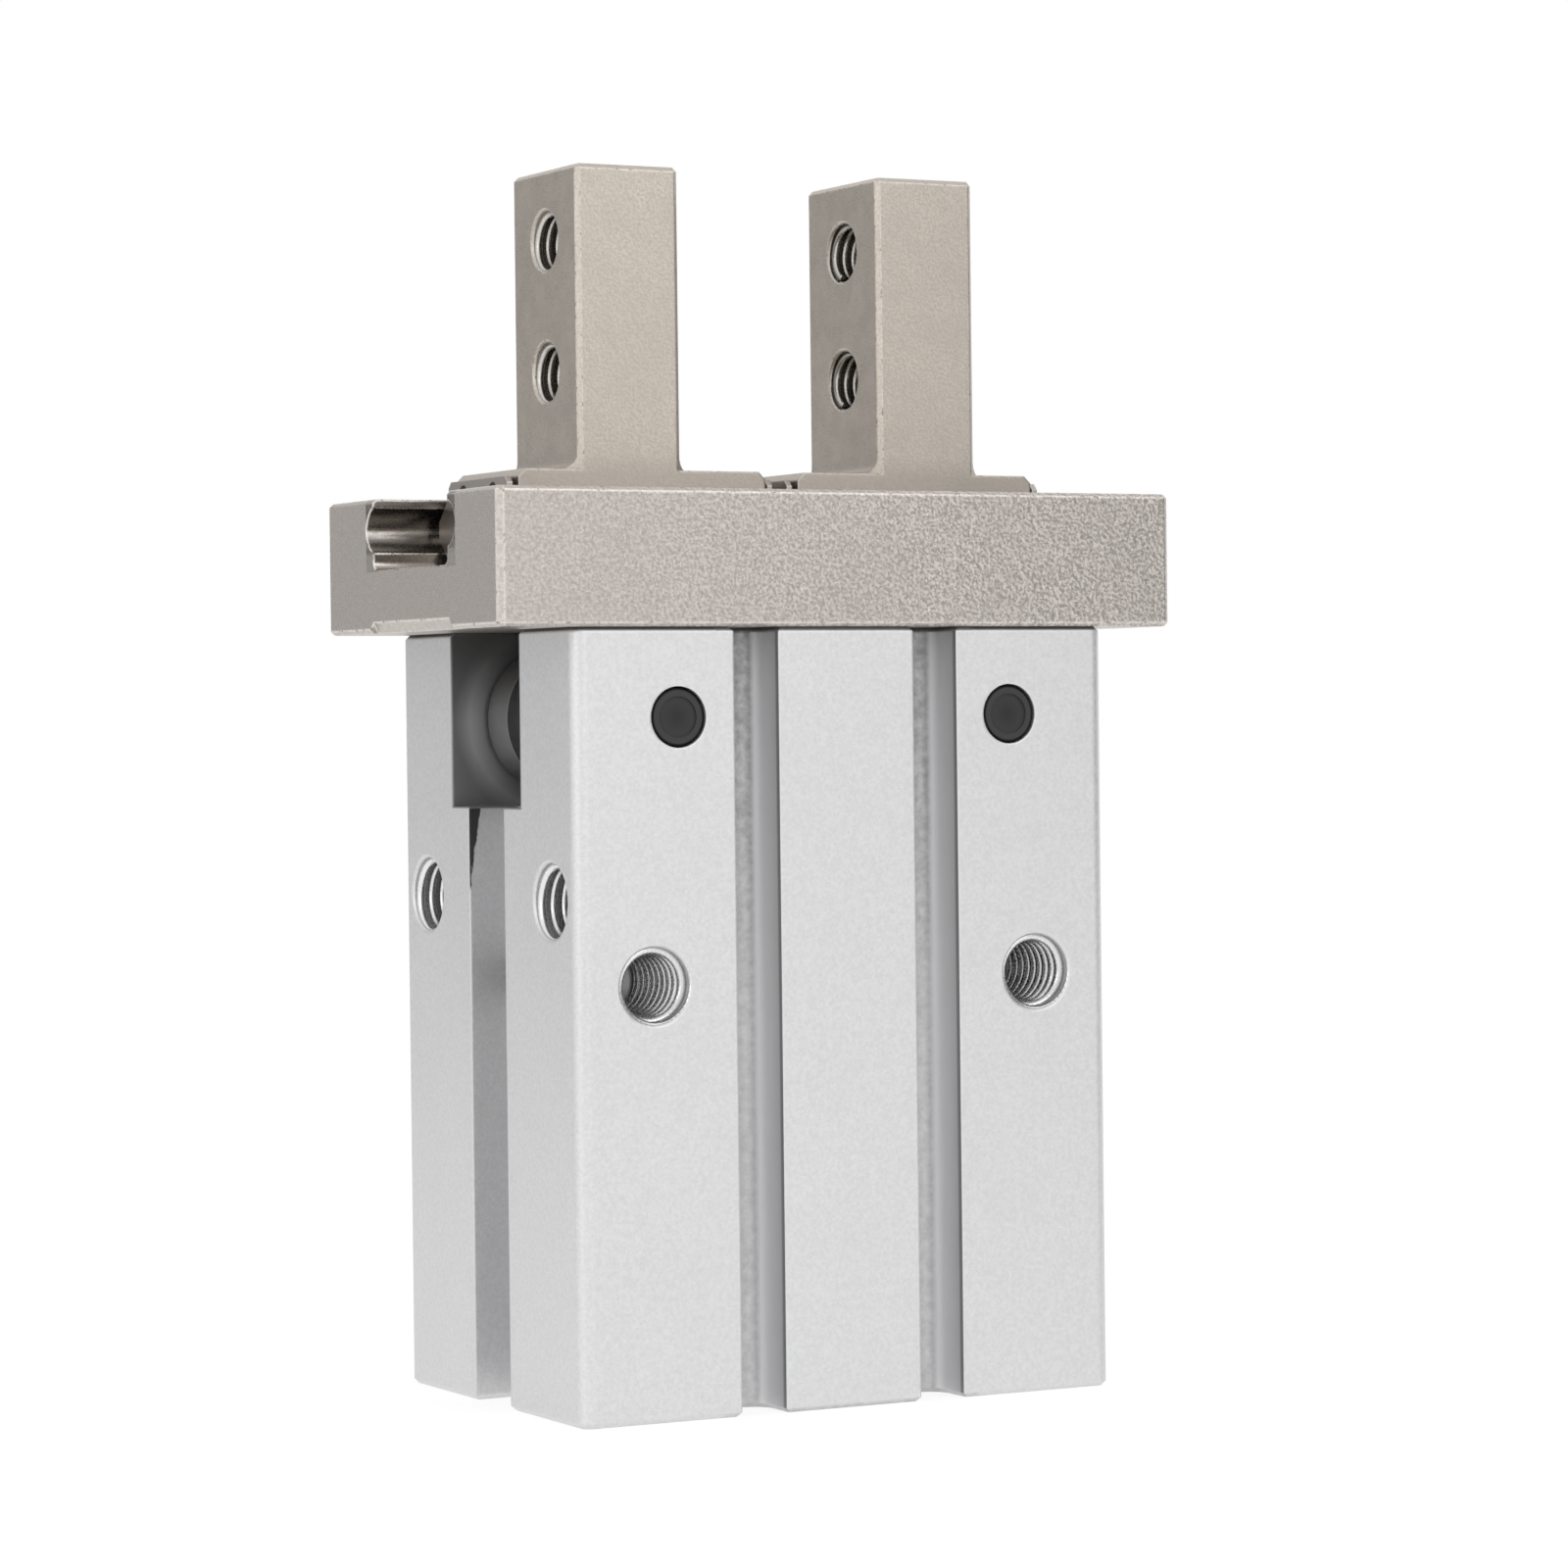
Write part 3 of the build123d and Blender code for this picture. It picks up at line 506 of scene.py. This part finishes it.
def rubber(name, colour):
    """Moulded rubber with a fine tooth."""
    n = Nodes(name)
    tooth = n.noise(0.15, 2.0, 0.5)
    base = n.mix(n.span(tooth, 0.0, 1.0, 0.35, 0.7), colour, shade(colour, 1.25))
    return n.finish(base, n.span(tooth, 0.49, 0.61), n.bump(tooth, 0.006, n.rounded(0.1)), 0.0)


MATERIALS = {
    "anodised_aluminium": anodised(),
    "cap_aluminium": plain_metal("cap_aluminium_skin", (0.62, 0.62, 0.63), 0.38),
    "piston_aluminium": plain_metal("piston_aluminium_skin", (0.62, 0.62, 0.63), 0.35),
    "blasted_rail_steel": rail_steel(),
    "finger_steel": finger_steel(),
    "stopper_steel": stopper_steel(),
    "plain_steel": plain_metal("plain_steel_skin", (0.58, 0.56, 0.53), 0.3),
    "bearing_steel": plain_metal("bearing_steel_skin", (0.62, 0.61, 0.60), 0.12),
    "lever_steel": plain_metal("lever_steel_skin", (0.27, 0.268, 0.268), 0.46),
    "screw_steel": plain_metal("screw_steel_skin", (0.05, 0.05, 0.05), 0.38),
    "spring_steel": plain_metal("spring_steel_skin", (0.10, 0.10, 0.10), 0.35),
    "dark_plug": dark_plug(),
    "seal_rubber": rubber("seal_rubber_skin", (0.02, 0.02, 0.02)),
    "magnet_rubber": rubber("magnet_rubber_skin", (0.03, 0.028, 0.026)),
    "bearing_bronze": plain_metal("bearing_bronze_skin", (0.62, 0.42, 0.24), 0.3),
}
# Thread colours: painted shade in the valleys, painted highlight on the crests
THREAD_ALUMINIUM = cut_thread("cut_thread_aluminium", (0.42, 0.42, 0.42), (0.86, 0.86, 0.87))
THREAD_STEEL = cut_thread("cut_thread_steel", (0.10, 0.095, 0.09), (0.66, 0.63, 0.59))


def dress_frame():
    """Give every CAD node the finish of its slot."""
    slots = {s["node"]: s["material_slot"] for s in frame["record"]["subparts"]}
    for node, obj in frame["nodes"].items():
        material = MATERIALS[slots[node]]
        if not obj.material_slots:
            obj.data.materials.append(material)
        for entry in obj.material_slots:
            entry.material = material


def mount_place(name):
    """Place of a mount: a hole's, or the middle of its pattern."""
    return [c / MM for c in MOUNTS[name]["pos_m"]]


def half_spacing(name, along):
    """Half the distance between a mount's holes."""
    return MOUNTS[name]["dims"][f"spacing_{along}_mm"] / 2


def corner_holes(hand, side, face, way):
    """The tapped hole on one side of the front or rear face, and the one beside it in the bottom."""
    face_x = side * half_spacing(f"{face}_threads", "x")
    face_mouth = (face_x, way * HALF_DEPTH, mount_place(f"{face}_threads")[2])
    base_mouth = (side * half_spacing("bottom_threads", "x"), way * half_spacing("bottom_threads", "y"), 0)
    return [
        (f"thread_{face}_{hand}", face_mouth, (0, way, 0), M5, FACE_THREAD, "housing_unit"),
        (f"thread_base_{face}_{hand}", base_mouth, (0, 0, -1), M4, BASE_THREAD, "housing_unit"),
    ]


def finger_holes(hand, side):
    """The two tapped holes of one finger."""
    x, _, middle = mount_place(f"{hand}_finger_threads")
    half = half_spacing(f"{hand}_finger_threads", "y")
    holes = []
    for level, way in (("low", -1), ("high", 1)):
        name = f"thread_finger_{hand}_{level}"
        mouth = (x, 0, middle + way * half)
        holes.append((name, mouth, (side, 0, 0), M4, FINGER_THREAD, f"finger_unit_{hand}"))
    return holes


def tapped_holes():
    """Name, mouth, outward axis, thread, threaded depth and body of every tapped hole."""
    ways = (("front", -1), ("rear", 1))
    holes = []
    for hand, side in (("left", -1), ("right", 1)):
        for face, way in ways:
            holes += corner_holes(hand, side, face, way)
        holes += finger_holes(hand, side)
    for face, way in ways:
        mouth = (-HALF_WIDTH, way * half_spacing("side_threads", "x"), mount_place("side_threads")[2])
        holes.append((f"thread_side_{face}", mouth, (-1, 0, 0), M5, SIDE_THREAD, "housing_unit"))
    for port in ("opening", "closing"):
        mouth = (HALF_WIDTH, 0, mount_place(f"{port}_port")[2])
        holes.append((f"thread_port_{port}", mouth, (1, 0, 0), M5, PORT_THREAD, "housing_unit"))
    return holes


def ridge_section(radius, pitch, rise):
    """Radius, depth and painted brightness of a thread section's corners, cut back by the countersunk mouth."""
    tallest = CREST_DEPTH_SHARE * pitch
    corners = []
    for share in (-BASE_SHARE, -CREST_FLAT_SHARE, CREST_FLAT_SHARE, BASE_SHARE):
        depth = max(MOUTH_SKIP, rise + share * pitch)
        sunk = depth - HOLE_EDGE
        if abs(share) == CREST_FLAT_SHARE:
            corners.append((radius - min(tallest, sunk), depth, 1.0))
        else:
            painted_brightness = 1.0 - min(1.0, max(0.0, sunk / tallest))
            corners.append((radius - min(0.0, sunk) + WALL_SINK, depth, painted_brightness))
    return corners


def ridge_vertex(bm, crest_light, angle, corner):
    """Vertex of one corner of a thread's section, with its painted brightness in the crest_light layer."""
    radius, depth, painted_brightness = corner
    vertex = bm.verts.new(Vector((radius * cos(angle), radius * sin(angle), depth)) * MM)
    vertex[crest_light] = painted_brightness
    return vertex


def thread_ridge(radius, pitch, depth):
    """Helical ridge of an internal thread, along +Z from 0 to depth, as one closed strip."""
    start = MOUTH_SKIP + RUN_IN - BASE_SHARE * pitch
    steps = int((depth - start - BASE_SHARE * pitch) / pitch * TURN_STEPS)
    bm = bmesh.new()
    crest_light = bm.verts.layers.float.new("crest_light")
    rings = []
    for k in range(steps + 1):
        angle = 2 * pi * k / TURN_STEPS
        section = ridge_section(radius, pitch, start + pitch * k / TURN_STEPS)
        rings.append([ridge_vertex(bm, crest_light, angle, corner) for corner in section])
    for low, high in zip(rings, rings[1:]):
        for i, corner in enumerate(low):
            j = (i + 1) % len(low)
            bm.faces.new((corner, low[j], high[j], high[i]))
    bm.faces.new(rings[0])
    bm.faces.new(list(reversed(rings[-1])))
    bmesh.ops.recalc_face_normals(bm, faces=bm.faces)
    return bm


def place_threads():
    """Turns of thread in every tapped hole."""
    for name, mouth, axis, (radius, pitch), depth, body in tapped_holes():
        steel = body.startswith("finger")
        turns = thread_ridge(radius, pitch, depth)
        mesh = bpy.data.meshes.new(name)
        turns.to_mesh(mesh)
        turns.free()
        inward = -Vector(axis)
        turn = inward.to_track_quat("Z", "Y").to_matrix().to_4x4()
        mesh.transform(Matrix.Translation(Vector(mouth) * MM) @ turn)
        mesh.shade_smooth()
        mesh.materials.append(THREAD_STEEL if steel else THREAD_ALUMINIUM)
        obj = collection_add(bpy.data.objects.new(name, mesh))
        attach(obj, body)


def add_camera():
    """Camera at the fitted place."""
    forward = Vector((sin(CAMERA_YAW) * cos(CAMERA_PITCH), cos(CAMERA_YAW) * cos(CAMERA_PITCH),
                      -sin(CAMERA_PITCH)))
    level_right = Vector((cos(CAMERA_YAW), -sin(CAMERA_YAW), 0.0))
    level_up = level_right.cross(forward)
    right = cos(CAMERA_ROLL) * level_right + sin(CAMERA_ROLL) * level_up
    up = -sin(CAMERA_ROLL) * level_right + cos(CAMERA_ROLL) * level_up
    place = CAMERA_AIM - forward * CAMERA_DISTANCE - right * CAMERA_SHIFT_RIGHT - up * CAMERA_SHIFT_UP
    data = bpy.data.cameras.new("camera")
    data.sensor_width = SENSOR_MM
    data.lens = FOCAL_PIXELS / IMAGE_PIXELS * SENSOR_MM
    camera = collection_add(bpy.data.objects.new("camera", data))
    camera.matrix_world = Matrix((
        (right.x, up.x, -forward.x, place.x),
        (right.y, up.y, -forward.y, place.y),
        (right.z, up.z, -forward.z, place.z),
        (0.0, 0.0, 0.0, 1.0)))
    bpy.context.scene.camera = camera


def seen_rays(tree):
    """One for camera, glossy and transmission rays, zero for the rest."""
    path = tree.nodes.new("ShaderNodeLightPath")
    seen = path.outputs["Is Camera Ray"]
    for kind in ("Is Glossy Ray", "Is Transmission Ray"):
        either = tree.nodes.new("ShaderNodeMath")
        either.operation = "MAXIMUM"
        tree.links.new(seen, either.inputs[0])
        tree.links.new(path.outputs[kind], either.inputs[1])
        seen = either.outputs[0]
    return seen


def diffuse(tree, level):
    """Plain grey surface."""
    node = tree.nodes.new("ShaderNodeBsdfDiffuse")
    node.inputs["Color"].default_value = (level, level, level, 1.0)
    return node.outputs[0]


def stage_white():
    """Floor that looks white where it is seen, and keeps a soft shadow."""
    material = bpy.data.materials.new("stage_white")
    material.use_nodes = True
    tree = material.node_tree
    tree.nodes.remove(tree.nodes["Principled BSDF"])
    glow = tree.nodes.new("ShaderNodeEmission")
    glow.inputs["Strength"].default_value = FLOOR_GLOW
    lit = tree.nodes.new("ShaderNodeAddShader")
    tree.links.new(diffuse(tree, FLOOR_SHADOW), lit.inputs[0])
    tree.links.new(glow.outputs[0], lit.inputs[1])
    choose = tree.nodes.new("ShaderNodeMixShader")
    tree.links.new(seen_rays(tree), choose.inputs[0])
    tree.links.new(diffuse(tree, FLOOR_PLAIN), choose.inputs[1])
    tree.links.new(lit.outputs[0], choose.inputs[2])
    tree.links.new(choose.outputs[0], tree.nodes["Material Output"].inputs["Surface"])
    return material


def stage_grey(name, level):
    """Grey card that polished faces show."""
    n = Nodes(name)
    n.fill(n.shader, {"Base Color": (level, level, level), "Roughness": 0.9})
    return n.material


def stage_plane(name, size, material, matrix):
    """Square plane that belongs to the stage."""
    bm = bmesh.new()
    bmesh.ops.create_grid(bm, x_segments=4, y_segments=4, size=size / 2)
    mesh = bpy.data.meshes.new(name)
    bm.to_mesh(mesh)
    bm.free()
    mesh.materials.append(material)
    plane = collection_add(bpy.data.objects.new(name, mesh))
    plane.matrix_world = matrix
    return plane


def aimed(place):
    """Matrix of a thing whose -Z looks from its place at the object."""
    turn = (Vector(LIGHT_AIM) - Vector(place)).to_track_quat("-Z", "Y").to_matrix().to_4x4()
    return Matrix.Translation(Vector(place)) @ turn


def add_stage():
    """White floor, and grey cards that only metal sees."""
    stage_plane("floor", FLOOR_SIZE, stage_white(), Matrix())
    for name, (place, size, level) in FLAGS.items():
        flag = stage_plane(name, size, stage_grey(name, level), aimed(place))
        flag.visible_camera = False
        flag.visible_shadow = False
        flag.visible_diffuse = False


def add_world():
    """White sky, and a plain light level for soft surfaces."""
    world = bpy.data.worlds.new("studio")
    world.use_nodes = True
    tree = world.node_tree
    background = tree.nodes["Background"]
    background.inputs["Color"].default_value = (1.0, 1.0, 1.0, 1.0)
    strength = tree.nodes.new("ShaderNodeMapRange")
    strength.inputs["To Min"].default_value = WORLD_LEVEL
    strength.inputs["To Max"].default_value = 1.0
    tree.links.new(seen_rays(tree), strength.inputs["Value"])
    tree.links.new(strength.outputs["Result"], background.inputs["Strength"])
    bpy.context.scene.world = world


def add_lamps():
    """Square soft lamps aimed at the object."""
    for name, (place, size, watts) in LAMPS.items():
        data = bpy.data.lights.new(name, "AREA")
        data.shape = "SQUARE"
        data.size = size
        data.energy = watts
        lamp = collection_add(bpy.data.objects.new(name, data))
        lamp.matrix_world = aimed(place)


dress_frame()
place_threads()
add_camera()
add_stage()
add_world()
add_lamps()
bpy.context.scene.view_settings.view_transform = "Standard"
